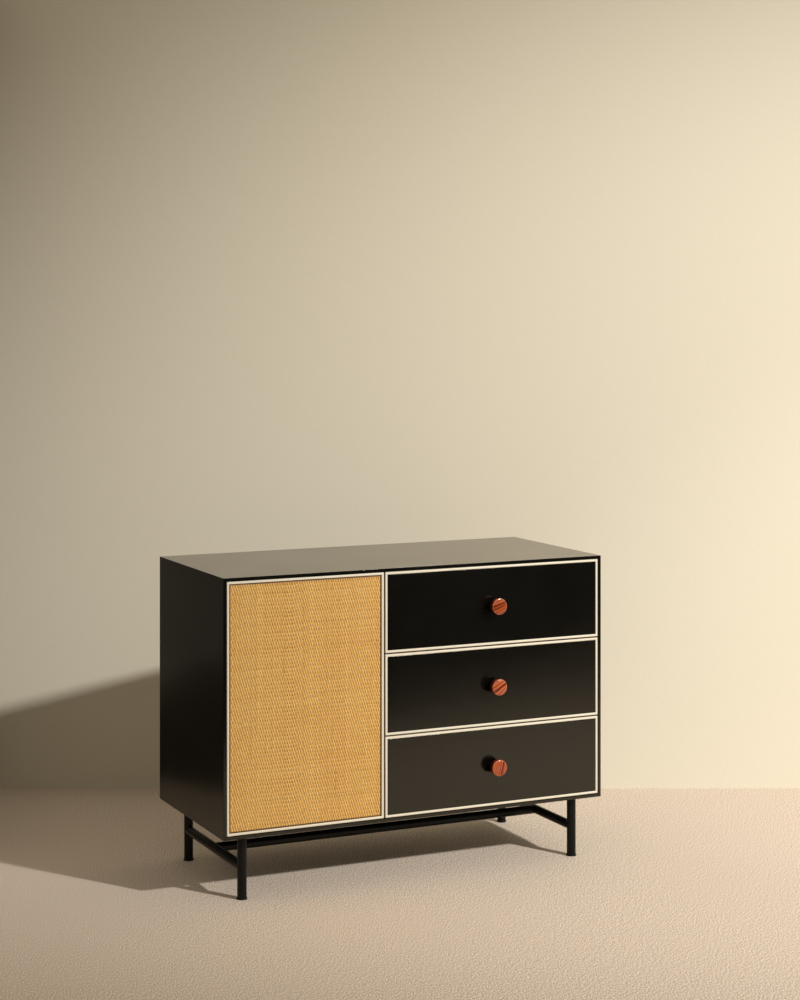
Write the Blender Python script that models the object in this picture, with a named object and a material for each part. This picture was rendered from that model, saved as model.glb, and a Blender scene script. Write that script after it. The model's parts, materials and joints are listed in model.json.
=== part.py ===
"""Low cabinet with one woven door and three drawers, on a base of round steel tube.

Sizes are in metres, with X to the right, Y to the back and Z up. The origin is on the floor, below the middle
of the whole cabinet with its knobs. Pieces are placed from the cabinet's own corner: x from its left side,
y back from its front face and z up from the floor.
"""

import math

import bmesh
import bpy
from mathutils import Vector

# Whole cabinet
CASE_WIDTH = 1.000
CASE_DEPTH = 0.450
CASE_HEIGHT = 0.600
LEG_HEIGHT = 0.150

# Clearances
FIT = 0.0003
MITRE_GAP = 0.0002
SWING_CLEARANCE = 0.0003

# Case boards
BOARD = 0.018
FRONT_LIP = 0.0072
BACK_LIP = 0.008
BACK_PANEL = 0.006
DADO_DEPTH = 0.006
SHELF_SETBACK = 0.045
SHELF_RISE = 0.273

# Door and drawer fronts
DOOR_WIDTH = 0.396
DOOR_GAP = 0.0036
DRAWER_COUNT = 3
DRAWER_GAP = 0.003
FRONT_THICKNESS = 0.019
EDGING_WIDTH = 0.006
EDGING_ROUND = 0.002
PANEL_RECESS = 0.0015

# Woven door panel
WEAVE_THICKNESS = 0.0022
WEAVE_RECESS = 0.0025
WEAVE_MARGIN = 0.0005
WEAVE_ROUND = 0.001

# Door pivots
PIVOT_INSET = 0.008
PIVOT_SETBACK = 0.0045
PIVOT_RADIUS = 0.002
PIVOT_COLLAR_RADIUS = 0.003
PIVOT_COVER = 0.002

# Push latch
LATCH_HEIGHT = 0.016
LATCH_WALL = 0.0035
LATCH_END_WALL = 0.020
LATCH_DROP = 0.016
LATCH_SETBACK = 0.005
PLUNGER_RADIUS = 0.0035
PLUNGER_ROUND = 0.001
PLUNGER_GRIP = 0.024
PLUNGER_TRAVEL = 0.003
STRIKE_WIDTH = 0.012
STRIKE_HEIGHT = 0.028
STRIKE_THICKNESS = 0.001
STRIKE_MARGIN = 0.0025

# Drawer boxes and runners
DRAWER_BOARD = 0.012
DRAWER_SIDE_GAP = 0.004
DRAWER_TOP_GAP = 0.022
DRAWER_BOTTOM_GAP = 0.020
DRAWER_REAR_GAP = 0.030
BOTTOM_PANEL = 0.006
BOTTOM_RISE = 0.010
BOTTOM_GROOVE = 0.004
RUNNER_HEIGHT = 0.014
RUNNER_GROOVE = 0.005
RUNNER_STOP = 0.012

# Knobs
KNOB_DIAMETER = 0.040
KNOB_BACK_DIAMETER = 0.036
KNOB_HEAD_LENGTH = 0.018
KNOB_RIM_ROUND = 0.003
KNOB_BACK_ROUND = 0.0015
STEM_LENGTH = 0.013
STEM_FOOT_DIAMETER = 0.018
STEM_WAIST_DIAMETER = 0.013
SCREW_DIAMETER = 0.004
SCREW_GRIP = 0.010
SCREW_HEAD_DIAMETER = 0.009
SCREW_HEAD_HEIGHT = 0.0028
SCREW_HEAD_ROUND = 0.0012

# Steel base
TUBE_DIAMETER = 0.0222
TUBE_WALL = 0.0015
LEG_INSET_SIDE = 0.061
LEG_INSET_FRONT = 0.041
STRETCHER_RISE = 0.075
PLATE_SIDE = 0.050
PLATE_THICKNESS = 0.004
PLATE_CORNER = 0.006
PLATE_HOLE_DIAMETER = 0.005
PLATE_HOLE_INSET = 0.009
FOOT_DIAMETER = 0.025
FOOT_HEIGHT = 0.004
FOOT_ROUND = 0.001
FOOT_PLUG = 0.012

# Facets
TUBE_SIDES = 24
PIN_SIDES = 20
HOLE_SIDES = 12
KNOB_SIDES = 36
ARC_STEPS = 3

# Places worked out from the sizes
CUT_PAST = 0.010
CASE_TOP = LEG_HEIGHT + CASE_HEIGHT
CASE_MIDDLE = LEG_HEIGHT + CASE_HEIGHT / 2
INSIDE_BOTTOM = LEG_HEIGHT + BOARD
INSIDE_TOP = CASE_TOP - BOARD
BACK_REBATE = BACK_PANEL + 2 * FIT
INSIDE_BACK = CASE_DEPTH - BACK_REBATE
REVEAL = math.hypot(PIVOT_INSET, PIVOT_SETBACK) - PIVOT_INSET + SWING_CLEARANCE
SHOULDER = PIVOT_SETBACK + math.hypot(PIVOT_INSET, FRONT_THICKNESS - PIVOT_SETBACK) + SWING_CLEARANCE
FRONT_LEFT = FRONT_LIP + REVEAL
FRONT_RIGHT = CASE_WIDTH - FRONT_LIP - REVEAL
FRONT_BOTTOM = LEG_HEIGHT + FRONT_LIP + REVEAL
FRONT_TOP = CASE_TOP - FRONT_LIP - REVEAL
FRONT_HEIGHT = FRONT_TOP - FRONT_BOTTOM
DOOR_RIGHT = FRONT_LEFT + DOOR_WIDTH
DRAWERS_LEFT = DOOR_RIGHT + DOOR_GAP
DRAWER_WIDTH = FRONT_RIGHT - DRAWERS_LEFT
DRAWER_HEIGHT = (FRONT_HEIGHT - (DRAWER_COUNT - 1) * DRAWER_GAP) / DRAWER_COUNT
DIVIDER_LEFT = DOOR_RIGHT + DOOR_GAP / 2 - BOARD / 2
DIVIDER_RIGHT = DIVIDER_LEFT + BOARD
PIVOT_X = FRONT_LEFT + PIVOT_INSET
LATCH_X = DOOR_RIGHT - EDGING_WIDTH - STRIKE_MARGIN - STRIKE_WIDTH / 2
LATCH_Z = INSIDE_TOP - LATCH_DROP - LATCH_HEIGHT / 2
LATCH_FRONT = SHOULDER + LATCH_SETBACK
PANEL_INSET = EDGING_WIDTH + FIT
KNOB_PROJECTION = STEM_LENGTH + KNOB_HEAD_LENGTH + 2 * FIT - PANEL_RECESS
TUBE_RADIUS = TUBE_DIAMETER / 2
SADDLE_RADIUS = TUBE_RADIUS + FIT
BORE_RADIUS = SCREW_DIAMETER / 2 + FIT


def clear_scene():
    for item in list(bpy.data.objects):
        bpy.data.objects.remove(item, do_unlink=True)


def make_finish(name, colour, roughness, metallic=0.0):
    finish = bpy.data.materials.new(name)
    finish.use_nodes = True
    shader = finish.node_tree.nodes["Principled BSDF"]
    shader.inputs["Base Color"].default_value = (*colour, 1.0)
    shader.inputs["Roughness"].default_value = roughness
    shader.inputs["Metallic"].default_value = metallic
    return finish


def make_finishes():
    return {
        "lacquer": make_finish("black_lacquer", (0.010, 0.010, 0.009), 0.30),
        "edging": make_finish("ivory_edging", (0.85, 0.76, 0.58), 0.40),
        "weave": make_finish("woven_fibre", (0.56, 0.32, 0.11), 0.65),
        "knob": make_finish("knob_wood", (0.36, 0.07, 0.02), 0.22),
        "steel": make_finish("black_steel", (0.012, 0.012, 0.011), 0.42, 0.1),
        "foot": make_finish("foot_plastic", (0.010, 0.010, 0.010), 0.55),
        "drawer": make_finish("drawer_wood", (0.60, 0.42, 0.24), 0.55),
        "runner": make_finish("runner_wood", (0.45, 0.27, 0.13), 0.50),
        "pin": make_finish("pivot_steel", (0.30, 0.29, 0.27), 0.35, 1.0),
        "latch": make_finish("latch_plastic", (0.020, 0.020, 0.020), 0.45),
    }


def holder(name, place, parent=None):
    """An empty that carries pieces. Its place is in cabinet coordinates, except for the cabinet's own."""
    empty = bpy.data.objects.new(name, None)
    bpy.context.scene.collection.objects.link(empty)
    empty.parent = parent
    empty.location = place
    return empty


def add_piece(name, mesh, place, carrier, finish=None, turn=(0.0, 0.0, 0.0)):
    """Adds an object at a place in cabinet coordinates, carried by an empty."""
    piece = bpy.data.objects.new(name, mesh)
    bpy.context.scene.collection.objects.link(piece)
    piece.parent = carrier
    piece.location = Vector(place) - (carrier.location if carrier.parent else Vector())
    piece.rotation_euler = turn
    if finish:
        mesh.materials.append(finish)
    return piece


def boolean(piece, other, operation="DIFFERENCE"):
    other.hide_render = True
    other.display_type = "WIRE"
    modifier = piece.modifiers.new(other.name, "BOOLEAN")
    modifier.solver = "EXACT"
    modifier.operation = operation
    modifier.object = other


def finish_mesh(bm, name, smooth=False):
    bmesh.ops.recalc_face_normals(bm, faces=bm.faces)
    mesh = bpy.data.meshes.new(name)
    bm.to_mesh(mesh)
    bm.free()
    if smooth:
        mesh.shade_smooth()
        mesh.set_sharp_from_angle(angle=math.radians(35))
    return mesh


def slab(name, low, high):
    """A board between two corners, about its own middle. Returns its mesh and its place."""
    bm = bmesh.new()
    bmesh.ops.create_cube(bm, size=1.0)
    size = Vector(high) - Vector(low)
    bmesh.ops.scale(bm, vec=size, verts=bm.verts)
    return finish_mesh(bm, name), (Vector(low) + Vector(high)) / 2


def rod(name, radius, length, sides=PIN_SIDES):
    """A plain cylinder about Z."""
    bm = bmesh.new()
    bmesh.ops.create_cone(bm, cap_ends=True, segments=sides, radius1=radius, radius2=radius, depth=length)
    return finish_mesh(bm, name, smooth=True)


def arc(centre, radius, start, end):
    """Points of an arc, from one angle to another in degrees."""
    angles = (math.radians(start + (end - start) * step / ARC_STEPS) for step in range(ARC_STEPS + 1))
    return [(centre[0] + radius * math.cos(a), centre[1] + radius * math.sin(a)) for a in angles]


def turned(name, outline, sides, closed=False):
    """A piece turned about Z from (radius, height) points. A closed outline makes a tube."""
    bm = bmesh.new()
    points = [bm.verts.new((radius, 0.0, height)) for radius, height in outline]
    pairs = list(zip(points, points[1:]))
    if closed:
        pairs.append((points[-1], points[0]))
    edges = [bm.edges.new(pair) for pair in pairs]
    bmesh.ops.spin(bm, geom=points + edges, axis=(0, 0, 1), cent=(0, 0, 0), steps=sides, angle=math.tau)
    bmesh.ops.remove_doubles(bm, verts=bm.verts, dist=1e-6)
    return finish_mesh(bm, name, smooth=True)


def tube(name, length):
    """The base's round tube, about Z."""
    bore = TUBE_RADIUS - TUBE_WALL
    half = length / 2
    outline = [(TUBE_RADIUS, half), (TUBE_RADIUS, -half), (bore, -half), (bore, half)]
    return turned(name, outline, TUBE_SIDES, closed=True)


def rectangle_loops(bm, width, height, edge):
    """One loop of four corners in the XZ plane for each (inset, y) point of the edge."""
    corners = ((-1, -1), (1, -1), (1, 1), (-1, 1))
    return [
        [bm.verts.new((sx * (width / 2 - inset), y, sz * (height / 2 - inset))) for sx, sz in corners]
        for inset, y in edge
    ]


def bridge(bm, first, second):
    for i in range(len(first)):
        j = (i + 1) % len(first)
        bm.faces.new((first[i], first[j], second[j], second[i]))


def ring(name, width, height, edge):
    """A frame with mitred corners, whose section is the closed outline edge."""
    bm = bmesh.new()
    loops = rectangle_loops(bm, width, height, edge)
    for first, second in zip(loops, loops[1:] + loops[:1]):
        bridge(bm, first, second)
    return finish_mesh(bm, name)


def rounded_panel(name, width, height, edge):
    """A flat panel whose rim follows the points of edge, from its back face to its front."""
    bm = bmesh.new()
    loops = rectangle_loops(bm, width, height, edge)
    for first, second in zip(loops, loops[1:]):
        bridge(bm, first, second)
    bm.faces.new(loops[0])
    bm.faces.new(loops[-1])
    return finish_mesh(bm, name)


def mitred_board(name, length):
    """A case board: X along it, Y back from its front edge, Z from its outer face to its inner face."""
    outline = [
        (0.0, 0.0),
        (CASE_DEPTH, 0.0),
        (CASE_DEPTH, BACK_LIP),
        (INSIDE_BACK, BACK_LIP),
        (INSIDE_BACK, BOARD),
        (SHOULDER, BOARD),
        (SHOULDER, FRONT_LIP),
        (0.0, FRONT_LIP),
    ]
    bm = bmesh.new()
    ends = [
        [bm.verts.new((side * (length / 2 - depth - MITRE_GAP), y, depth)) for y, depth in outline]
        for side in (-1, 1)
    ]
    bridge(bm, *ends)
    for end in ends:
        bm.faces.new(end)
    return finish_mesh(bm, name)


def shelf_heights():
    low = INSIDE_BOTTOM + SHELF_RISE
    return low, low + BOARD


def cut_dado(board, inner_face, inward, cabinet):
    """Cuts the shelf's stopped groove into a board's inner face. inward points into the board."""
    low, high = shelf_heights()
    across = sorted((inner_face - inward * CUT_PAST, inner_face + inward * DADO_DEPTH))
    mesh, place = slab(
        f"{board.name}_dado",
        (across[0], SHELF_SETBACK - FIT, low - FIT),
        (across[1], CASE_DEPTH + CUT_PAST, high + FIT),
    )
    boolean(board, add_piece(mesh.name, mesh, place, cabinet))


def build_case(cabinet, finishes):
    """The four mitred boards, and the boards that stand inside them."""
    black = finishes["lacquer"]
    boards = {}
    for name, length, place, turn in (
        ("case_bottom", CASE_WIDTH, (CASE_WIDTH / 2, 0.0, LEG_HEIGHT), 0.0),
        ("case_top", CASE_WIDTH, (CASE_WIDTH / 2, 0.0, CASE_TOP), 180.0),
        ("case_left_side", CASE_HEIGHT, (0.0, 0.0, CASE_MIDDLE), 90.0),
        ("case_right_side", CASE_HEIGHT, (CASE_WIDTH, 0.0, CASE_MIDDLE), -90.0),
    ):
        mesh = mitred_board(name, length)
        boards[name] = add_piece(name, mesh, place, cabinet, black, (0.0, math.radians(turn), 0.0))

    mesh, place = slab(
        "case_divider",
        (DIVIDER_LEFT, SHOULDER, INSIDE_BOTTOM + FIT),
        (DIVIDER_RIGHT, INSIDE_BACK, INSIDE_TOP - FIT),
    )
    divider = add_piece(mesh.name, mesh, place, cabinet, black)
    cut_dado(boards["case_left_side"], BOARD, -1, cabinet)
    cut_dado(divider, DIVIDER_LEFT, 1, cabinet)

    low, high = shelf_heights()
    mesh, place = slab(
        "case_shelf",
        (BOARD - DADO_DEPTH + FIT, SHELF_SETBACK, low),
        (DIVIDER_LEFT + DADO_DEPTH - FIT, INSIDE_BACK, high),
    )
    add_piece(mesh.name, mesh, place, cabinet, black)

    edge = BACK_LIP + FIT
    mesh, place = slab(
        "case_back",
        (edge, INSIDE_BACK + FIT, LEG_HEIGHT + edge),
        (CASE_WIDTH - edge, INSIDE_BACK + FIT + BACK_PANEL, CASE_TOP - edge),
    )
    add_piece(mesh.name, mesh, place, cabinet, black)
    return boards


def rounded_plate(name):
    """A leg's square top plate with round corners, about its middle."""
    half = PLATE_SIDE / 2 - PLATE_CORNER
    outline = []
    for quarter, (sx, sy) in enumerate(((1, 1), (-1, 1), (-1, -1), (1, -1))):
        outline += arc((sx * half, sy * half), PLATE_CORNER, quarter * 90, quarter * 90 + 90)
    bm = bmesh.new()
    face = bm.faces.new([bm.verts.new((x, y, -PLATE_THICKNESS / 2)) for x, y in outline])
    raised = bmesh.ops.extrude_face_region(bm, geom=[face])["geom"]
    verts = [item for item in raised if isinstance(item, bmesh.types.BMVert)]
    bmesh.ops.translate(bm, vec=(0, 0, PLATE_THICKNESS), verts=verts)
    return finish_mesh(bm, name)


def build_leg(name, x, y, cabinet, finish):
    """A tube leg, welded to the plate that screws to the case through a hole near each corner."""
    top = LEG_HEIGHT - FIT
    middle = top - PLATE_THICKNESS / 2
    bottom = FOOT_HEIGHT + FIT
    leg = add_piece(name, rounded_plate(name), (x, y, middle), cabinet, finish)
    post = add_piece(f"{name}_tube", tube(f"{name}_tube", middle - bottom), (x, y, (middle + bottom) / 2), cabinet)
    boolean(leg, post, "UNION")
    reach = PLATE_SIDE / 2 - PLATE_HOLE_INSET
    for number, (sx, sy) in enumerate(((1, 1), (-1, 1), (-1, -1), (1, -1)), 1):
        cutter = f"{name}_hole_{number}"
        mesh = rod(cutter, PLATE_HOLE_DIAMETER / 2, PLATE_THICKNESS + 2 * CUT_PAST, HOLE_SIDES)
        boolean(leg, add_piece(cutter, mesh, (x + sx * reach, y + sy * reach, middle), cabinet))


def build_foot(name, x, y, cabinet, finish):
    """A moulded glide, plugged into the leg's bore."""
    rim = FOOT_DIAMETER / 2 - FOOT_ROUND
    plug = TUBE_RADIUS - TUBE_WALL - FIT
    outline = [(0.0, FOOT_HEIGHT + FOOT_PLUG), (plug, FOOT_HEIGHT + FOOT_PLUG), (plug, FOOT_HEIGHT)]
    outline += arc((rim, FOOT_HEIGHT - FOOT_ROUND), FOOT_ROUND, 90, 0)
    outline += arc((rim, FOOT_ROUND), FOOT_ROUND, 0, -90)
    outline.append((0.0, 0.0))
    add_piece(name, turned(name, outline, TUBE_SIDES), (x, y, 0.0), cabinet, finish)


def saddle(piece, name, place, turn, cabinet):
    """Copes the end of a tube round another tube."""
    mesh = rod(name, SADDLE_RADIUS, TUBE_DIAMETER + 2 * CUT_PAST, TUBE_SIDES)
    boolean(piece, add_piece(name, mesh, place, cabinet, turn=turn))


def build_base(cabinet, finishes):
    """Four legs, a stretcher between the two on each side, and one long rail between the stretchers."""
    columns = {"left": LEG_INSET_SIDE, "right": CASE_WIDTH - LEG_INSET_SIDE}
    rows = {"front": LEG_INSET_FRONT, "back": CASE_DEPTH - LEG_INSET_FRONT}
    steel = finishes["steel"]
    along_y = (math.radians(90), 0.0, 0.0)
    along_x = (0.0, math.radians(90), 0.0)
    middle_y = CASE_DEPTH / 2
    for side, x in columns.items():
        name = f"stretcher_{side}"
        mesh = tube(name, rows["back"] - rows["front"])
        stretcher = add_piece(name, mesh, (x, middle_y, STRETCHER_RISE), cabinet, steel, along_y)
        for row, y in rows.items():
            build_leg(f"leg_{row}_{side}", x, y, cabinet, steel)
            build_foot(f"foot_{row}_{side}", x, y, cabinet, finishes["foot"])
            saddle(stretcher, f"{name}_{row}_saddle", (x, y, STRETCHER_RISE), (0.0, 0.0, 0.0), cabinet)
    mesh = tube("long_rail", columns["right"] - columns["left"])
    rail = add_piece("long_rail", mesh, (CASE_WIDTH / 2, middle_y, STRETCHER_RISE), cabinet, steel, along_x)
    for side, x in columns.items():
        saddle(rail, f"long_rail_{side}_saddle", (x, middle_y, STRETCHER_RISE), along_y, cabinet)


def edging_section():
    """Outline of the pale edging, with both of its front corners round."""
    outline = [(0.0, FRONT_THICKNESS)]
    outline += arc((EDGING_ROUND, EDGING_ROUND), EDGING_ROUND, 180, 270)
    outline += arc((EDGING_WIDTH - EDGING_ROUND, EDGING_ROUND), EDGING_ROUND, -90, 0)
    outline.append((EDGING_WIDTH, FRONT_THICKNESS))
    return outline


def pivot_levels():
    """Heights along a pivot pin from the door's edge: its end in the door, its collar and its end in the case."""
    return -(EDGING_WIDTH - PIVOT_COVER), FIT, REVEAL - FIT, REVEAL + FRONT_LIP - PIVOT_COVER


def build_pivot(name, door_edge, up, case_board, frame, carriers, finish):
    """A collared pin between the case and the door, with the holes it sits in. up is 1 above the door."""
    cabinet, hinge = carriers
    in_door, collar_low, collar_high, in_case = pivot_levels()
    outline = [
        (0.0, in_case),
        (PIVOT_RADIUS, in_case),
        (PIVOT_RADIUS, collar_high),
        (PIVOT_COLLAR_RADIUS, collar_high),
        (PIVOT_COLLAR_RADIUS, collar_low),
        (PIVOT_RADIUS, collar_low),
        (PIVOT_RADIUS, in_door),
        (0.0, in_door),
    ]
    outline = [(radius, up * height) for radius, height in outline]
    add_piece(name, turned(name, outline, PIN_SIDES), (PIVOT_X, PIVOT_SETBACK, door_edge), cabinet, finish)
    for piece, carrier, end, mouth in (
        (case_board, cabinet, in_case + FIT, REVEAL / 2),
        (frame, hinge, in_door - FIT, REVEAL / 2),
    ):
        cutter = f"{name}_hole_in_{piece.name}"
        mesh = rod(cutter, PIVOT_RADIUS + FIT, abs(end - mouth))
        place = (PIVOT_X, PIVOT_SETBACK, door_edge + up * (end + mouth) / 2)
        boolean(piece, add_piece(cutter, mesh, place, carrier))


def build_door(cabinet, boards, finishes):
    """The door turns on two pins near its left edge, so its pieces hang on an empty on that axis."""
    hinge = holder("door_hinge", (PIVOT_X, PIVOT_SETBACK, FRONT_BOTTOM), cabinet)
    centre_x = (FRONT_LEFT + DOOR_RIGHT) / 2
    centre_z = (FRONT_BOTTOM + FRONT_TOP) / 2
    mesh = ring("door_frame", DOOR_WIDTH, FRONT_HEIGHT, edging_section())
    frame = add_piece(mesh.name, mesh, (centre_x, 0.0, centre_z), hinge, finishes["edging"])

    board_front = WEAVE_RECESS + WEAVE_THICKNESS + FIT
    mesh, place = slab(
        "door_board",
        (FRONT_LEFT + PANEL_INSET, board_front, FRONT_BOTTOM + PANEL_INSET),
        (DOOR_RIGHT - PANEL_INSET, FRONT_THICKNESS, FRONT_TOP - PANEL_INSET),
    )
    board = add_piece(mesh.name, mesh, place, hinge, finishes["lacquer"])

    margin = EDGING_WIDTH + WEAVE_MARGIN
    edge = [(0.0, WEAVE_THICKNESS)] + arc((WEAVE_ROUND, WEAVE_ROUND), WEAVE_ROUND, 180, 270)
    mesh = rounded_panel("door_woven_panel", DOOR_WIDTH - 2 * margin, FRONT_HEIGHT - 2 * margin, edge)
    add_piece(mesh.name, mesh, (centre_x, WEAVE_RECESS, centre_z), hinge, finishes["weave"])

    carriers = (cabinet, hinge)
    build_pivot("door_top_pivot", FRONT_TOP, 1, boards["case_top"], frame, carriers, finishes["pin"])
    build_pivot("door_bottom_pivot", FRONT_BOTTOM, -1, boards["case_bottom"], frame, carriers, finishes["pin"])
    build_strike(board, hinge, finishes["pin"])


def build_strike(board, hinge, finish):
    """A steel plate let into the back of the door, where the latch's magnet meets it."""
    half = Vector((STRIKE_WIDTH / 2, 0.0, STRIKE_HEIGHT / 2))
    back = Vector((LATCH_X, FRONT_THICKNESS, LATCH_Z))
    depth = Vector((0.0, STRIKE_THICKNESS, 0.0))
    mesh, place = slab("door_strike_plate", back - half - depth, back + half)
    add_piece(mesh.name, mesh, place, hinge, finish)
    round_it = Vector((FIT, FIT, FIT))
    past = Vector((FIT, CUT_PAST, FIT))
    mesh, place = slab("door_strike_recess", back - half - depth - round_it, back + half + past)
    boolean(board, add_piece(mesh.name, mesh, place, hinge))


def build_latch(cabinet, finishes):
    """A push latch on the divider. Its sprung plunger meets the back of the door."""
    bore_depth = PLUNGER_GRIP + PLUNGER_TRAVEL + FIT
    half = LATCH_HEIGHT / 2
    mesh, place = slab(
        "latch_body",
        (LATCH_X - PLUNGER_RADIUS - FIT - LATCH_WALL, LATCH_FRONT, LATCH_Z - half),
        (DIVIDER_LEFT - FIT, LATCH_FRONT + bore_depth + LATCH_END_WALL, LATCH_Z + half),
    )
    body = add_piece(mesh.name, mesh, place, cabinet, finishes["latch"])
    bore_middle = LATCH_FRONT + (bore_depth - CUT_PAST) / 2
    mesh = rod("latch_bore", PLUNGER_RADIUS + FIT, bore_depth + CUT_PAST)
    turn = (math.radians(90), 0.0, 0.0)
    boolean(body, add_piece(mesh.name, mesh, (LATCH_X, bore_middle, LATCH_Z), cabinet, turn=turn))

    tip = FRONT_THICKNESS + FIT
    length = LATCH_FRONT + PLUNGER_GRIP - tip
    flat = PLUNGER_RADIUS - PLUNGER_ROUND
    outline = [(0.0, 0.0)] + arc((flat, -PLUNGER_ROUND), PLUNGER_ROUND, 90, 0)
    outline += [(PLUNGER_RADIUS, -length), (0.0, -length)]
    slide = holder("latch_slide", (LATCH_X, tip, LATCH_Z), cabinet)
    mesh = turned("latch_plunger", outline, PIN_SIDES)
    add_piece(mesh.name, mesh, (LATCH_X, tip, LATCH_Z), slide, finishes["latch"], turn)


def build_knob(name, centre, slide, finishes):
    """A turned wooden head on a waisted black stem, held by a screw from inside the drawer."""
    outward = (math.radians(90), 0.0, 0.0)
    x, z = centre
    stem_base = PANEL_RECESS - FIT
    head_back = stem_base - STEM_LENGTH - FIT
    foot = STEM_FOOT_DIAMETER / 2
    waist = STEM_WAIST_DIAMETER / 2
    stem = [
        (BORE_RADIUS, STEM_LENGTH),
        (foot, STEM_LENGTH),
        (waist, STEM_LENGTH * 2 / 3),
        (waist, STEM_LENGTH / 3),
        (foot, SCREW_HEAD_ROUND),
        (foot, 0.0),
        (BORE_RADIUS, 0.0),
    ]
    mesh = turned(f"{name}_stem", stem, PIN_SIDES, closed=True)
    add_piece(mesh.name, mesh, (x, stem_base, z), slide, finishes["steel"], outward)

    rim = KNOB_DIAMETER / 2 - KNOB_RIM_ROUND
    back_rim = KNOB_BACK_DIAMETER / 2 - KNOB_BACK_ROUND
    hole = SCREW_GRIP + FIT
    head = [(0.0, KNOB_HEAD_LENGTH)]
    head += arc((rim, KNOB_HEAD_LENGTH - KNOB_RIM_ROUND), KNOB_RIM_ROUND, 90, 0)
    head += arc((back_rim, KNOB_BACK_ROUND), KNOB_BACK_ROUND, 0, -90)
    head += [(BORE_RADIUS, 0.0), (BORE_RADIUS, hole), (0.0, hole)]
    add_piece(name, turned(name, head, KNOB_SIDES), (x, head_back, z), slide, finishes["knob"], outward)

    shank = SCREW_DIAMETER / 2
    cap = SCREW_HEAD_DIAMETER / 2 - SCREW_HEAD_ROUND
    under_head = FRONT_THICKNESS + FIT
    reach = under_head - head_back + SCREW_GRIP
    screw = [(0.0, reach), (shank, reach), (shank, 0.0), (SCREW_HEAD_DIAMETER / 2, 0.0)]
    screw += arc((cap, SCREW_HEAD_ROUND - SCREW_HEAD_HEIGHT), SCREW_HEAD_ROUND, 0, -90)
    screw.append((0.0, -SCREW_HEAD_HEIGHT))
    mesh = turned(f"{name}_screw", screw, PIN_SIDES)
    add_piece(mesh.name, mesh, (x, under_head, z), slide, finishes["pin"], outward)


def cut_slab(piece, name, low, high, carrier):
    mesh, place = slab(name, low, high)
    boolean(piece, add_piece(name, mesh, place, carrier))


def build_drawer(number, cabinet, finishes):
    """One drawer: edged front, grooved box, knob, and the two runners that carry it in the case."""
    name = f"drawer_{number}"
    top = FRONT_TOP - (number - 1) * (DRAWER_HEIGHT + DRAWER_GAP)
    bottom = top - DRAWER_HEIGHT
    centre_x = (DRAWERS_LEFT + FRONT_RIGHT) / 2
    centre_z = (top + bottom) / 2
    slide = holder(f"{name}_slide", (centre_x, 0.0, centre_z), cabinet)

    mesh = ring(f"{name}_edging", DRAWER_WIDTH, DRAWER_HEIGHT, edging_section())
    add_piece(mesh.name, mesh, (centre_x, 0.0, centre_z), slide, finishes["edging"])
    mesh, place = slab(
        f"{name}_front",
        (DRAWERS_LEFT + PANEL_INSET, PANEL_RECESS, bottom + PANEL_INSET),
        (FRONT_RIGHT - PANEL_INSET, FRONT_THICKNESS, top - PANEL_INSET),
    )
    front = add_piece(mesh.name, mesh, place, slide, finishes["lacquer"])
    mesh = rod(f"{name}_screw_hole", BORE_RADIUS, FRONT_THICKNESS + 2 * CUT_PAST)
    turn = (math.radians(90), 0.0, 0.0)
    boolean(front, add_piece(mesh.name, mesh, (centre_x, FRONT_THICKNESS / 2, centre_z), slide, turn=turn))
    build_knob(f"{name}_knob", (centre_x, centre_z), slide, finishes)
    build_box(name, (bottom, top), slide, cabinet, finishes)


def build_box(name, heights, slide, cabinet, finishes):
    """The drawer's box, with its bottom in grooves and its sides grooved for the runners."""
    low = heights[0] + DRAWER_BOTTOM_GAP
    high = heights[1] - DRAWER_TOP_GAP
    start = FRONT_THICKNESS + FIT
    end = INSIDE_BACK - DRAWER_REAR_GAP
    runner_low = (low + high - RUNNER_HEIGHT) / 2
    runner_high = runner_low + RUNNER_HEIGHT
    floor_low = low + BOTTOM_RISE
    floor_high = floor_low + BOTTOM_PANEL
    groove_end = start + RUNNER_STOP
    inner_faces = []
    for side, wall, inward in (("left", DIVIDER_RIGHT, 1), ("right", CASE_WIDTH - BOARD, -1)):
        outer = wall + inward * DRAWER_SIDE_GAP
        inner = outer + inward * DRAWER_BOARD
        inner_faces.append(inner)
        xs = sorted((outer, inner))
        mesh, place = slab(f"{name}_{side}_side", (xs[0], start, low), (xs[1], end, high))
        board = add_piece(mesh.name, mesh, place, slide, finishes["drawer"])
        xs = sorted((outer - inward * CUT_PAST, outer + inward * RUNNER_GROOVE))
        cut_slab(
            board,
            f"{board.name}_runner_groove",
            (xs[0], groove_end, runner_low - FIT),
            (xs[1], end + CUT_PAST, runner_high + FIT),
            slide,
        )
        xs = sorted((inner + inward * CUT_PAST, inner - inward * BOTTOM_GROOVE))
        cut_slab(
            board,
            f"{board.name}_bottom_groove",
            (xs[0], start - CUT_PAST, floor_low - FIT),
            (xs[1], end + CUT_PAST, floor_high + FIT),
            slide,
        )
        xs = sorted((wall + inward * FIT, outer + inward * (RUNNER_GROOVE - FIT)))
        mesh, place = slab(
            f"{name}_{side}_runner",
            (xs[0], groove_end + FIT, runner_low),
            (xs[1], INSIDE_BACK, runner_high),
        )
        add_piece(mesh.name, mesh, place, cabinet, finishes["runner"])

    left, right = inner_faces
    mesh, place = slab(
        f"{name}_bottom",
        (left - BOTTOM_GROOVE + FIT, start, floor_low),
        (right + BOTTOM_GROOVE - FIT, end, floor_high),
    )
    add_piece(mesh.name, mesh, place, slide, finishes["drawer"])
    mesh, place = slab(
        f"{name}_back",
        (left + FIT, end - DRAWER_BOARD, floor_high + FIT),
        (right - FIT, end, high),
    )
    add_piece(mesh.name, mesh, place, slide, finishes["drawer"])


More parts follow.
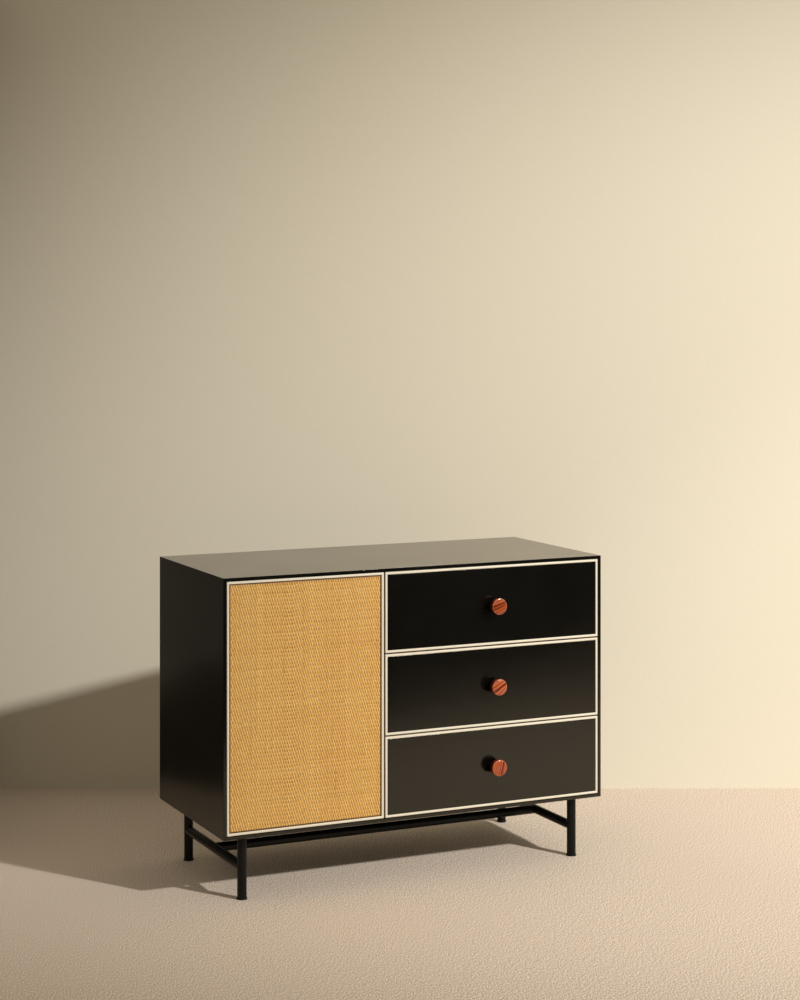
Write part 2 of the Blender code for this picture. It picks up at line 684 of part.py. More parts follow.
def main():
    clear_scene()
    finishes = make_finishes()
    cabinet = holder("cabinet", (-CASE_WIDTH / 2, (KNOB_PROJECTION - CASE_DEPTH) / 2, 0.0))
    boards = build_case(cabinet, finishes)
    build_base(cabinet, finishes)
    build_door(cabinet, boards, finishes)
    build_latch(cabinet, finishes)
    for number in range(1, DRAWER_COUNT + 1):
        build_drawer(number, cabinet, finishes)


main()
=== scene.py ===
import json
import math

import bpy
import numpy as np
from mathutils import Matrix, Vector

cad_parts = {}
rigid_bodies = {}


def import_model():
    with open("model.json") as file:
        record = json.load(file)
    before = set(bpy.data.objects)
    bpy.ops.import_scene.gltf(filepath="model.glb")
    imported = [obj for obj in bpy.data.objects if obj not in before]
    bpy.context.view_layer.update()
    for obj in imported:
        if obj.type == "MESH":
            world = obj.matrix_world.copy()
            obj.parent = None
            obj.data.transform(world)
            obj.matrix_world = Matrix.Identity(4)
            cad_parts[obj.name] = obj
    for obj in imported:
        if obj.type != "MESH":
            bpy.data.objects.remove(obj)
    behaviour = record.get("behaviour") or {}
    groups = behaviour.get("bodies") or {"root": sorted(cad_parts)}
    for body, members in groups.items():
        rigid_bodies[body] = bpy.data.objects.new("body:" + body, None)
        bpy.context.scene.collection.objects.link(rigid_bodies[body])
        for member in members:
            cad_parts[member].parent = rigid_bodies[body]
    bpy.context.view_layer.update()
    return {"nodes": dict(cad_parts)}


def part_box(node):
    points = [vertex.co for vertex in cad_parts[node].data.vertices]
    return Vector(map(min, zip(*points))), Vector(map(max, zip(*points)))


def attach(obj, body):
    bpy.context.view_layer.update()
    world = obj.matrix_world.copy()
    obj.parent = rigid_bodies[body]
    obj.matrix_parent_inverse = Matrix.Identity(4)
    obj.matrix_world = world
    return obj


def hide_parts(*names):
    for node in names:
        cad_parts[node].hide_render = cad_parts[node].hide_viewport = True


for leftover in list(bpy.data.objects):
    bpy.data.objects.remove(leftover)
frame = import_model()
nodes = frame["nodes"]

MM = 0.001

# Camera, fitted to the photograph's perspective: place in metres, lens and sensor in millimetres
CAMERA_PLACE = Vector((-2.1505, -4.634, 1.3837))
CAMERA_YAW = math.radians(-25.36)
CAMERA_LENS = 74.16
CAMERA_SENSOR = 36.0
CAMERA_SHIFT = -0.1989
CAMERA_FORWARD = Vector((-math.sin(CAMERA_YAW), math.cos(CAMERA_YAW), 0.0))
CAMERA_RIGHT = Vector((math.cos(CAMERA_YAW), math.sin(CAMERA_YAW), 0.0))

# Stage, in metres to the camera's left and right, ahead of it and up
WALL_DEPTH = 5.85
WALL_HEIGHT = 3.6
WALL_LEFT = 1.2
STAGE_RIGHT = 4.2
FLOOR_LEFT = 1.25
FLOOR_NEAR = 3.65
FLOOR_BEHIND = 4.5
FLOOR_FAR = WALL_DEPTH + FLOOR_BEHIND
SURROUND = 60.0
SCREEN_NEAR = 5.1
SCREEN_HEIGHT = 2.3
WALL_COLOUR = (0.665, 0.615, 0.495)
SCREEN_COLOUR = (0.082, 0.071, 0.056)
FLOOR_COLOUR = (0.615, 0.516, 0.422)
FLOOR_FAR_COLOUR = (0.88, 0.85, 0.80)
FLOOR_FADE = (3.5, 9.0)

# Lamps: a broad pool on the whole object and a small brighter one to its right, from one lamp head.
# Each has its power in watts, its colour, the point that it is aimed at and the width of its cone.
LAMP_PLACE = Vector((2.942, -5.687, 4.223))
LAMP_RADIUS = 0.15
LAMP_BLEND = 0.94
LAMPS = {
    "key": (2400.0, (1.0, 0.98, 0.95), Vector((1.125, -0.181, 0.670)), math.radians(40.3)),
    "accent": (400.0, (0.95, 0.98, 1.0), Vector((1.676, -0.750, 0.761)), math.radians(17.2)),
}

# World: the pale background that the camera, reflections and transmitted rays see, and light from above
# for all other rays. The strength of each rises between two slopes of direction.
WORLD_COLOUR = (1.0, 0.89, 0.73)
WORLD_SLOPES = (-0.02, 0.30)
WORLD_LOW = 0.03
WORLD_HIGH = 0.48
BACKGROUND_COLOUR = (0.60, 0.535, 0.43)
BACKGROUND_SLOPES = (-0.06, -0.03)
BACKGROUND_HIGH = 1.0

# Colours of the finishes; a list of shades gives each one's place on its ramp
LACQUER_SHADES = ((0.30, (0.0010, 0.0010, 0.0009)), (0.72, (0.0019, 0.0018, 0.0015)))
LACQUER_TINT = (1.0, 0.985, 0.86, 1.0)
LACQUER_RELIEF = 0.0012 * MM
# Dust and painted sheen on the upward faces of the lacquer
DUST_AND_SHEEN_COLOUR = (0.26, 0.165, 0.075)
TOP_DUST_AND_SHEEN = 0.20
IVORY_SHADES = ((0.28, (0.61, 0.555, 0.435)), (0.50, (0.675, 0.625, 0.505)), (0.74, (0.705, 0.66, 0.54)))
IVORY_CLOUD = (0.60, 0.51, 0.375)
# Painted shade on the sides of the ivory strips, in the gaps between them
IVORY_SIDE_SHADE = (0.20, 0.135, 0.07)
CANE_SHADES = ((0.0, (0.55, 0.288, 0.069)), (0.35, (0.735, 0.427, 0.116)),
               (0.65, (0.815, 0.516, 0.153)), (1.0, (0.87, 0.618, 0.218)))
CANE_PATCH = (0.70, 0.36, 0.095)
CANE_STREAK = (0.58, 0.31, 0.09)
# Painted shade where a strand passes under another, also the colour of the few darker strands, and painted
# shade in the groove round the panel
CANE_SHADE_AND_DARK_STRAND = (0.22, 0.095, 0.020)
CANE_GROOVE_SHADE = (0.03, 0.012, 0.003)
RING_GREYS = ((0.0, 0.15), (0.30, 0.0), (0.58, 0.8), (0.80, 1.0), (1.0, 0.15))
RING_BEND = 1.6
RINGS_IN_DEPTH = 30.0
KNOB_LINE = (0.105, 0.011, 0.002)
KNOB_PORE = (0.12, 0.017, 0.005)
# Pale rim of the knob's face: wear, and in part a painted highlight
KNOB_RIM_WEAR_AND_HIGHLIGHT = (0.60, 0.26, 0.13)
KNOB_SIDE = (0.065, 0.008, 0.002)
BIRCH_SHADES = ((0.66, 0.475, 0.285), (0.54, 0.35, 0.18), (0.42, 0.255, 0.12))
BEECH_SHADES = ((0.50, 0.30, 0.155), (0.40, 0.215, 0.10), (0.27, 0.13, 0.055))
WOOD_BANDS = 7.0
STEEL_SHADES = ((0.0028, 0.0027, 0.0024), (0.0040, 0.0038, 0.0034))
FOOT_SHADES = ((0.0045, 0.0044, 0.0042), (0.0062, 0.0060, 0.0057))
LATCH_SHADES = ((0.055, 0.055, 0.054), (0.068, 0.067, 0.065))
ZINC_SHADES = ((0.3, (0.44, 0.43, 0.40)), (0.7, (0.60, 0.59, 0.56)))

# Knobs by drawer: turn of the grain, growth lines to a metre, height of the dark band, palest colour
KNOBS = {
    1: (math.radians(17), 130.0, 5.5 * MM, (0.36, 0.074, 0.019)),
    2: (math.radians(30), 105.0, -1.0 * MM, (0.45, 0.105, 0.040)),
    3: (math.radians(77), 200.0, -7.3 * MM, (0.42, 0.088, 0.028)),
}

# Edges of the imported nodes
WELD_DISTANCE = 0.01 * MM
SMOOTH_ANGLE = math.radians(32)
ARRIS_ANGLE = math.radians(50)
ARRIS_SEGMENTS = 2
BOARD_ARRIS = 0.4 * MM
FRONT_ARRIS = 0.3 * MM
EDGING_ARRIS = 0.35 * MM
LEG_ARRIS = 0.3 * MM
FOOT_ARRIS = 0.4 * MM
LATCH_ARRIS = 0.25 * MM


class Finish:
    """A Principled material and the node calls that the finishes share."""

    # A Mix node's sockets for its first value, its second value and its result
    MIX_SOCKETS = {"FLOAT": (2, 3, 0), "RGBA": (6, 7, 2)}

    def __init__(self, name, **sockets):
        self.material = bpy.data.materials.new(name)
        self.material.use_nodes = True
        self.tree = self.material.node_tree
        self.shader = self.tree.nodes["Principled BSDF"]
        for socket, value in sockets.items():
            self.shader.inputs[socket.replace("_", " ")].default_value = value

    def add(self, kind, **settings):
        node = self.tree.nodes.new("ShaderNode" + kind)
        for key, value in settings.items():
            setattr(node, key, value)
        return node

    def feed(self, socket, value):
        """Links a socket to another one, or sets its value; a colour may leave out its alpha."""
        if isinstance(value, bpy.types.NodeSocket):
            self.tree.links.new(value, socket)
        elif hasattr(value, "__len__") and len(socket.default_value) == 4 and len(value) == 3:
            socket.default_value = (*value, 1.0)
        else:
            socket.default_value = value

    def coords(self):
        return self.add("TexCoord").outputs["Object"]

    def mapped(self, vector, scale=(1, 1, 1), turn=(0, 0, 0)):
        node = self.add("Mapping")
        self.feed(node.inputs["Vector"], vector)
        self.feed(node.inputs["Rotation"], turn)
        self.feed(node.inputs["Scale"], scale)
        return node.outputs["Vector"]

    def split(self, vector):
        node = self.add("SeparateXYZ")
        self.feed(node.inputs[0], vector)
        return node.outputs

    def length(self, vector):
        node = self.add("VectorMath", operation="LENGTH")
        self.feed(node.inputs[0], vector)
        return node.outputs["Value"]

    def noise(self, vector, scale, detail=3.0, roughness=0.5, distortion=0.0):
        """Noise of a scale to a metre, which is one number or one for each axis."""
        if hasattr(scale, "__len__"):
            vector = self.mapped(vector, scale)
            scale = 1.0
        node = self.add("TexNoise")
        for socket, value in (("Vector", vector), ("Scale", scale), ("Detail", detail),
                              ("Roughness", roughness), ("Distortion", distortion)):
            self.feed(node.inputs[socket], value)
        return node.outputs["Fac"]

    def attribute(self, name):
        return self.add("Attribute", attribute_name=name).outputs["Fac"]

    def ramp(self, factor, *stops):
        node = self.add("ValToRGB")
        self.feed(node.inputs["Fac"], factor)
        elements = node.color_ramp.elements
        while len(elements) < len(stops):
            elements.new(1.0)
        for element, (place, colour) in zip(elements, stops):
            element.position = place
            element.color = (*colour, 1.0)
        return node.outputs["Color"]

    def span(self, factor, low, high, start=0.0, end=1.0):
        """Goes from low to high as the factor goes from start to end."""
        node = self.add("MapRange")
        for socket, value in zip(("Value", "From Min", "From Max", "To Min", "To Max"),
                                 (factor, start, end, low, high)):
            self.feed(node.inputs[socket], value)
        return node.outputs["Result"]

    def maths(self, operation, first, second=0.0):
        node = self.add("Math", operation=operation)
        self.feed(node.inputs[0], first)
        self.feed(node.inputs[1], second)
        return node.outputs["Value"]

    def apart(self, first, second):
        return self.maths("ABSOLUTE", self.maths("SUBTRACT", first, second))

    def mix(self, factor, first, second, kind="RGBA"):
        node = self.add("Mix", data_type=kind)
        first_socket, second_socket, result = self.MIX_SOCKETS[kind]
        self.feed(node.inputs[0], factor)
        self.feed(node.inputs[first_socket], first)
        self.feed(node.inputs[second_socket], second)
        return node.outputs[result]

    def bump(self, height, distance, after=None):
        node = self.add("Bump")
        self.feed(node.inputs["Strength"], 1.0)
        self.feed(node.inputs["Distance"], distance)
        self.feed(node.inputs["Height"], height)
        if after is not None:
            self.feed(node.inputs["Normal"], after)
        return node.outputs["Normal"]

    def wear(self, colour, roughness, normal):
        for socket, value in (("Base Color", colour), ("Roughness", roughness), ("Normal", normal)):
            self.feed(self.shader.inputs[socket], value)
        return self.material


def along(axis, fine, coarse):
    """Scales that draw a pattern out along one axis."""
    return tuple(coarse if letter == axis else fine for letter in "xyz")


def lacquer(name, axis, dust_and_sheen=0.0):
    """Satin black lacquer with the grain of the board just telling through it, and dust with a painted
    sheen on level faces.
    """
    finish = Finish("black_lacquer_" + name, IOR=1.6, Specular_Tint=LACQUER_TINT)
    grain = finish.noise(finish.coords(), along(axis, fine=150, coarse=4), detail=4.0, roughness=0.6)
    peel = finish.noise(finish.coords(), 900.0, detail=2.0)
    cloud = finish.noise(finish.coords(), 7.0, detail=4.0, roughness=0.55)
    colour = finish.ramp(grain, *LACQUER_SHADES)
    # Paler on upward faces: dust, and in part a painted sheen
    if dust_and_sheen:
        facing = finish.split(finish.add("NewGeometry").outputs["Normal"])["Z"]
        colour = finish.mix(finish.span(facing, 0.0, dust_and_sheen, start=0.6, end=0.95), colour, DUST_AND_SHEEN_COLOUR)
    sheen = finish.span(cloud, 0.15, 0.19, start=0.25, end=0.75)
    relief = finish.bump(grain, LACQUER_RELIEF)
    return finish.wear(colour, sheen, finish.bump(peel, LACQUER_RELIEF, relief))


def edging(name, low, high):
    """Ivory lacquered strips, each with its grain along its own length between the mitres, and painted
    shade down their sides in the gaps.
    """
    finish = Finish("ivory_edging_" + name, IOR=1.48)
    place = finish.split(finish.coords())
    across = finish.apart(place["X"], (low.x + high.x) / 2)
    up = finish.apart(place["Z"], (low.z + high.z) / 2)
    from_side = finish.maths("SUBTRACT", (high.x - low.x) / 2, across)
    from_end = finish.maths("SUBTRACT", (high.z - low.z) / 2, up)
    upright = finish.maths("LESS_THAN", from_side, from_end)
    level_grain, upright_grain = (
        finish.noise(finish.coords(), along(axis, fine=700, coarse=9), detail=4.0, roughness=0.65)
        for axis in "xz")
    grain = finish.mix(upright, level_grain, upright_grain, "FLOAT")
    cloud = finish.noise(finish.coords(), 14.0)
    colour = finish.ramp(grain, *IVORY_SHADES)
    colour = finish.mix(finish.span(cloud, 0.0, 0.10), colour, IVORY_CLOUD)
    # Painted shade: darker down the sides of the strips, in the gaps between them
    depth = finish.span(place["Y"], 0.0, 0.85, start=low.y + 1.0 * MM, end=low.y + 4.0 * MM)
    colour = finish.mix(depth, colour, IVORY_SIDE_SHADE)
    sheen = finish.span(grain, 0.36, 0.46, start=0.3, end=0.7)
    return finish.wear(colour, sheen, finish.bump(grain, 0.015 * MM))


def fibre():
    """Split cane: tone from strand to strand, painted shade where a strand passes under a neighbour and
    over the recessed wefts, painted shade darkest in the groove, and a few darker strands.
    """
    finish = Finish("woven_fibre", IOR=1.45)
    tone = finish.attribute("tone")
    shade_and_dark_strands = finish.attribute("shade_and_dark_strands")
    streak = finish.noise(finish.coords(), 420.0, roughness=0.6)
    cloud = finish.noise(finish.coords(), (22, 22, 7), roughness=0.55)
    colour = finish.ramp(tone, *CANE_SHADES)
    colour = finish.mix(finish.span(cloud, 0.0, 0.24, start=0.45, end=0.75), colour, CANE_PATCH)
    colour = finish.mix(finish.span(streak, 0.0, 0.30, start=0.45, end=0.8), colour, CANE_STREAK)
    # Painted shade under neighbouring strands and in the groove, and the darker strands' colour
    colour = finish.mix(finish.span(shade_and_dark_strands, 0.0, 0.90, start=0.0, end=GROOVE_SHADE), colour, CANE_SHADE_AND_DARK_STRAND)
    colour = finish.mix(finish.span(shade_and_dark_strands, 0.0, 0.70, start=1.0, end=GROOVE_SHADE), colour, CANE_GROOVE_SHADE)
    sheen = finish.span(streak, 0.48, 0.66, start=0.3, end=0.7)
    return finish.wear(colour, sheen, finish.bump(streak, 0.05 * MM))


def rosewood(name, low, high, turn, lines, band, light):
    """Red-brown turned hardwood: dark growth lines at the knob's own angle, and darker, duller sides."""
    finish = Finish("knob_wood_" + name, IOR=1.5)
    local = finish.add("VectorMath", operation="SUBTRACT")
    finish.feed(local.inputs[0], finish.coords())
    finish.feed(local.inputs[1], ((low.x + high.x) / 2, low.y, (low.z + high.z) / 2))
    turned = finish.mapped(local.outputs[0], turn=(0.0, turn, 0.0))
    place = finish.split(turned)
    depth = place["Y"]
    up = place["Z"]

    # Growth lines, one broad dark band and fine pores
    bend = finish.maths("MULTIPLY", finish.noise(turned, (22, 22, 60), detail=2.0), RING_BEND)
    rings = finish.maths("ADD", finish.maths("MULTIPLY", up, lines), bend)
    rings = finish.maths("ADD", rings, finish.maths("MULTIPLY", depth, RINGS_IN_DEPTH))
    rings = finish.maths("FRACT", rings)
    dark = finish.ramp(rings, *((stop, (grey, grey, grey)) for stop, grey in RING_GREYS))
    fade = finish.noise(turned, (12, 12, 110), detail=1.0)
    dark = finish.maths("MULTIPLY", dark, finish.span(fade, 0.5, 1.0, start=0.38, end=0.62))
    in_band = finish.span(finish.apart(up, band), 1.0, 0.0, start=1.7 * MM, end=3.2 * MM)
    colour = finish.mix(finish.maths("MAXIMUM", dark, in_band), light, KNOB_LINE)
    pore = finish.noise(turned, (90, 500, 1500), roughness=0.6)
    colour = finish.mix(finish.span(pore, 0.0, 0.45, start=0.52, end=0.78), colour, KNOB_PORE)

    # Paler round the rim of the face, partly wear and partly a painted highlight, and dark down the side
    spoke = finish.add("CombineXYZ")
    finish.feed(spoke.inputs["X"], place["X"])
    finish.feed(spoke.inputs["Z"], up)
    radius = (high.x - low.x) / 2
    reach = finish.length(spoke.outputs[0])
    rim = finish.span(reach, 0.0, 0.3, start=radius - 3.0 * MM, end=radius - 1.2 * MM)
    face = finish.span(depth, 1.0, 0.0, start=1.2 * MM, end=2.4 * MM)
    colour = finish.mix(finish.maths("MULTIPLY", rim, face), colour, KNOB_RIM_WEAR_AND_HIGHLIGHT)
    colour = finish.mix(finish.span(depth, 0.0, 0.85, start=2.0 * MM, end=4.0 * MM), colour, KNOB_SIDE)
    gloss = finish.span(depth, 0.5, 0.06, start=0.8 * MM, end=2.0 * MM)
    finish.feed(finish.shader.inputs["Specular IOR Level"], gloss)
    dull = finish.span(depth, 0.0, 0.50, start=0.8 * MM, end=2.2 * MM)
    sheen = finish.maths("ADD", finish.span(pore, 0.13, 0.22, start=0.4, end=0.75), dull)
    return finish.wear(colour, sheen, finish.bump(pore, 0.02 * MM))


def box_wood(name, axis, light, dark, line):
    """Plain pale wood, with growth bands and short pores along the board."""
    finish = Finish(name + "_" + axis, IOR=1.45)
    broad = finish.noise(finish.coords(), along(axis, fine=26, coarse=1.3), distortion=0.35)
    bands = finish.maths("FRACT", finish.maths("MULTIPLY", broad, WOOD_BANDS))
    pore = finish.noise(finish.coords(), along(axis, fine=1100, coarse=40), roughness=0.6)
    colour = finish.ramp(bands, (0.0, light), (0.62, light), (0.88, dark), (1.0, light))
    colour = finish.mix(finish.span(pore, 0.0, 0.45, start=0.52, end=0.8), colour, line)
    sheen = finish.span(pore, 0.48, 0.62, start=0.3, end=0.7)
    return finish.wear(colour, sheen, finish.bump(pore, 0.03 * MM))


def powder(name, low, high, roughness, scale):
    """Fine-textured black or dark grey surface of coated tube and moulded plastic."""
    finish = Finish(name, IOR=1.5, Specular_IOR_Level=0.18)
    speck = finish.noise(finish.coords(), scale, roughness=0.6)
    cloud = finish.noise(finish.coords(), 24.0)
    colour = finish.ramp(cloud, (0.3, low), (0.7, high))
    sheen = finish.span(speck, roughness - 0.05, roughness + 0.07, start=0.3, end=0.7)
    return finish.wear(colour, sheen, finish.bump(speck, 0.03 * MM))


def plated(name):
    """Bright zinc plate with fine turning marks and dull patches."""
    finish = Finish(name, Metallic=1.0)
    brush = finish.noise(finish.coords(), along("z", fine=2600, coarse=240), roughness=0.6)
    cloud = finish.noise(finish.coords(), 160.0)
    sheen = finish.span(brush, 0.26, 0.42, start=0.3, end=0.7)
    return finish.wear(finish.ramp(cloud, *ZINC_SHADES), sheen, finish.bump(brush, 0.01 * MM))


def plaster(name, colour, spread, scale, depth, far=None):
    """Stage surface whose fine nap varies its colour by a share of spread either way.

    far is the plain colour that it fades to, well away from the object.
    """
    finish = Finish(name, IOR=1.45)
    nap = finish.noise(finish.coords(), scale, detail=2.0, roughness=0.6)
    tint = finish.ramp(nap, (0.36, tuple(c * (1 - spread) for c in colour)),
                       (0.64, tuple(c * (1 + spread) for c in colour)))
    if far:
        start, end = FLOOR_FADE
        away = finish.span(finish.length(finish.coords()), 0.0, 1.0, start, end)
        tint = finish.mix(away, tint, far)
    return finish.wear(tint, finish.span(nap, 0.85, 0.95), finish.bump(nap, depth))


def softening():
    """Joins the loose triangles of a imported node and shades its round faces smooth."""
    group = bpy.data.node_groups.new("soften", "GeometryNodeTree")
    for way in ("INPUT", "OUTPUT"):
        group.interface.new_socket("Geometry", in_out=way, socket_type="NodeSocketGeometry")
    link = group.links.new
    make = group.nodes.new
    start = make("NodeGroupInput")
    end = make("NodeGroupOutput")
    weld = make("GeometryNodeMergeByDistance")
    weld.inputs["Distance"].default_value = WELD_DISTANCE
    plain = make("GeometryNodeRemoveAttribute")
    plain.inputs["Name"].default_value = "custom_normal"
    smooth = make("GeometryNodeSetShadeSmooth")
    crisp = make("GeometryNodeSetShadeSmooth")
    crisp.domain = "EDGE"
    crisp.inputs["Shade Smooth"].default_value = False
    angle = make("GeometryNodeInputMeshEdgeAngle")
    compare = make("FunctionNodeCompare")
    compare.operation = "GREATER_THAN"
    compare.inputs["B"].default_value = SMOOTH_ANGLE
    link(start.outputs[0], weld.inputs["Geometry"])
    link(weld.outputs["Geometry"], plain.inputs["Geometry"])
    link(plain.outputs["Geometry"], smooth.inputs["Geometry"])
    link(smooth.outputs["Geometry"], crisp.inputs["Geometry"])
    link(angle.outputs["Unsigned Angle"], compare.inputs["A"])
    link(compare.outputs["Result"], crisp.inputs["Selection"])
    link(crisp.outputs["Geometry"], end.inputs[0])
    return group


SOFTEN = softening()


def dress(node, material, arris=0.0):
    """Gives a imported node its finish, and rounds its arrises by a hair."""
    piece = nodes[node]
    piece.material_slots[0].link = "OBJECT"
    piece.material_slots[0].material = material
    piece.modifiers.new("soften", "NODES").node_group = SOFTEN
    if arris:
        bevel = piece.modifiers.new("arris", "BEVEL")
        bevel.width = arris
        bevel.segments = ARRIS_SEGMENTS
        bevel.limit_method = "ANGLE"
        bevel.angle_limit = ARRIS_ANGLE
        bevel.harden_normals = True


# Boards of the case and the door
BLACK = {axis: lacquer(axis, axis) for axis in "xz"}
GRAIN_AXIS = {"case_bottom": "x", "case_left_side": "z", "case_right_side": "z", "case_divider": "z",
              "case_back": "z", "case_shelf": "x", "door_board": "z"}
dress("case_top", lacquer("top", "x", TOP_DUST_AND_SHEEN), BOARD_ARRIS)
for node, axis in GRAIN_AXIS.items():
    dress(node, BLACK[axis], BOARD_ARRIS)

# Base and fittings
STEEL = powder("black_steel", *STEEL_SHADES, roughness=0.30, scale=2600.0)
PLASTIC = powder("foot_plastic", *FOOT_SHADES, roughness=0.50, scale=1600.0)
LATCH = powder("latch_plastic", *LATCH_SHADES, roughness=0.45, scale=1400.0)
ZINC = plated("pivot_steel")
for corner in ("front_left", "front_right", "back_left", "back_right"):
    dress("leg_" + corner, STEEL, LEG_ARRIS)
    dress("foot_" + corner, PLASTIC, FOOT_ARRIS)
for node in ("stretcher_left", "stretcher_right", "long_rail"):
    dress(node, STEEL)
for node in ("door_top_pivot", "door_bottom_pivot", "door_strike_plate"):
    dress(node, ZINC)
for node in ("latch_body", "latch_plunger"):
    dress(node, LATCH, LATCH_ARRIS)

# Door frame and drawers
dress("door_frame", edging("door", *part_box("door_frame")), EDGING_ARRIS)
BIRCH = {axis: box_wood("drawer_wood", axis, *BIRCH_SHADES) for axis in "xy"}
BEECH = box_wood("runner_wood", "y", *BEECH_SHADES)
for number, grain in KNOBS.items():
    drawer = f"drawer_{number}_"
    dress(drawer + "front", BLACK["x"], FRONT_ARRIS)
    dress(drawer + "edging", edging(f"drawer_{number}", *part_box(drawer + "edging")), EDGING_ARRIS)
    for side in ("left", "right"):
        dress(drawer + side + "_side", BIRCH["y"], BOARD_ARRIS)
        dress(drawer + side + "_runner", BEECH, BOARD_ARRIS)
    dress(drawer + "back", BIRCH["x"], BOARD_ARRIS)
    dress(drawer + "bottom", BIRCH["x"])
    dress(drawer + "knob", rosewood(str(number), *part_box(drawer + "knob"), *grain))
    dress(drawer + "knob_stem", STEEL)
    dress(drawer + "knob_screw", ZINC)

# Woven panel: upright strands (warps) over and under broad level ones (wefts)
PANEL_LOW, PANEL_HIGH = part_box("door_woven_panel")
PANEL_SIZE = PANEL_HIGH - PANEL_LOW
WEAVE_FRONT = 1.2 * MM
WEAVE_MIDDLE = (PANEL_LOW.y - WEAVE_FRONT + PANEL_HIGH.y) / 2
WARP_PITCH = 3.05 * MM
WARP_HALF_WIDTH = 1.30 * MM
WARP_HALF_THICK = 0.58 * MM
WARP_EDGE = 0.25
WARP_RISE = 0.78 * MM
WARP_SLANT = 0.28 * MM
WARP_STEPS = 4
WEFT_PITCH = 9.14 * MM
WEFT_HALF_WIDTH = 4.54 * MM
WEFT_HALF_THICK = 0.36 * MM
WEFT_EDGE = 0.3
WEFT_RISE = 0.40 * MM
WEFT_STEPS = 2
WARPS = int(PANEL_SIZE.x / WARP_PITCH)
WEFTS = int(PANEL_SIZE.z / WEFT_PITCH)
WARP_STEP = PANEL_SIZE.x / WARPS
WEFT_STEP = PANEL_SIZE.z / WEFTS
SHARPNESS = 0.3
SECTION_RIM = 0.9

# The groove round the panel, where the strands sink and flatten, with painted shade on them
TUCK_WIDTH = 4.0 * MM
TUCK_DEPTH = 0.9 * MM
TUCK_SHADE = 1.8 * MM
TUCK_CLEAR = 3.4 * MM
TUCK_FLATTEN = 0.75

# Unevenness. Jitter and slip, in millimetres: shared with neighbours, each strand's own, and the most
SEED = 11
NEIGHBOURS = 4
EXTREME = 2
WARP_JITTER = (0.12, 0.05, 0.4)
WARP_SLIP = (0.60, 0.3, 1.6)
WARP_WIDTH_SPREAD = 0.05
WARP_SWAY = 0.12 * MM
WEFT_WIDTH_SPREAD = 0.04
WEFT_OFFSET = 0.16 * MM
WEFT_WANDER = 0.20 * MM
TONE_MIDDLE = 0.5
WARP_TONE_SHARED = 0.05
WARP_TONE_OWN = 0.04
WARP_TONE_LONG = 0.05
WARP_TONE_SHORT = 0.09
# Painted light: how much paler a warp is where it turns at a crossing, lifting the shade along the rows
WARP_TURN_LIGHT = 0.14
WEFT_TONE_OWN = 0.08
WEFT_TONE_LONG = 0.06

# Painted shade on a strand: up to 1 where it passes under another, a share of it over the whole of each
# recessed weft and its edges, and the most in the groove
WARP_DIP_AT = 0.9
WEFT_DIP_LEAST = 0.74
WEFT_DIP_FROM = 0.1
WEFT_DIP_OVER = 1.2
GROOVE_SHADE = 1.3

# Strands that are darker for a stretch: their place across, and their lowest and highest point
DARK_STRANDS = ((-0.221, 0.226, 0.285), (-0.352, 0.512, 0.538))
DARK_STRAND_DIP = 0.75

FIBRE = fibre()


def smooth_random(rng, count, reach):
    """Random values that drift over about reach neighbours, scaled to unit spread."""
    tail = 3 * reach
    raw = rng.normal(size=count + 2 * tail)
    kernel = np.exp(-0.5 * (np.arange(-tail, tail + 1) / reach) ** 2)
    drift = np.convolve(raw, kernel, "same")[tail:tail + count]
    return (drift - drift.mean()) / drift.std()


def smooth_lengths(rng, count, steps, reach):
    """Smooth random values along each of a number of strands."""
    return smooth_random(rng, count * steps, reach).reshape(count, steps)


def uneven(rng, count, shared, own, most):
    """Random offsets, in part shared with neighbours, and none past the most."""
    drift = shared * smooth_random(rng, count, NEIGHBOURS)
    return (drift + own * rng.normal(size=count)).clip(-most, most)


def mild(values):
    """Random values of unit spread without their rare extremes."""
    return values.clip(-EXTREME, EXTREME)


def alternate(count):
    """Which way each strand starts: over or under."""
    return np.where(np.arange(count) % 2, 1.0, -1.0)


def strand_section(edge):
    """Outline of a strand across its width and thickness: round in front, with a low ridge behind."""
    return np.array(((-1.0, edge), (-0.62, -0.55), (0.0, -1.0), (0.62, -0.55), (1.0, edge), (0.0, 0.8)))


def strands(name, rings, tone, shade_and_dark_strands):
    """One mesh of closed strands from rings[strand, step, corner, xyz]."""
    count, steps, corners, _ = rings.shape
    index = np.arange(count * steps * corners).reshape(count, steps, corners)
    quads = np.stack((index[:, :-1], np.roll(index[:, :-1], -1, 2),
                      np.roll(index[:, 1:], -1, 2), index[:, 1:]), -1).reshape(-1, 4)
    caps = np.concatenate((index[:, 0, ::-1], index[:, -1]))
    points = rings.reshape(-1, 3)
    mesh = bpy.data.meshes.new(name)
    mesh.from_pydata(points.tolist(), [], quads.tolist() + caps.tolist())
    mesh.shade_smooth()
    # Each point carries its tone and its painted shade
    for label, values in (("tone", tone), ("shade_and_dark_strands", shade_and_dark_strands)):
        spread = np.broadcast_to(values, (count, steps, corners)).astype(np.float32)
        mesh.attributes.new(label, "FLOAT", "POINT").data.foreach_set("value", spread.ravel())
    corner_verts = np.empty(len(mesh.loops), np.int32)
    mesh.loops.foreach_get("vertex_index", corner_verts)
    flat = points[corner_verts]
    chart = np.stack((flat[:, 0] - PANEL_LOW.x, flat[:, 2] - PANEL_LOW.z), -1) / PANEL_SIZE.z
    mesh.uv_layers.new(name="OFBake").data.foreach_set("uv", chart.astype(np.float32).ravel())
    piece = bpy.data.objects.new(name, mesh)
    bpy.context.scene.collection.objects.link(piece)
    mesh.materials.append(FIBRE)
    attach(piece, "door")
    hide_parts("door_woven_panel")


def sharpen(wave):
    """A crossing wave with a long flat float and a quick dive."""
    return wave * (1 + SHARPNESS - SHARPNESS * wave * wave)


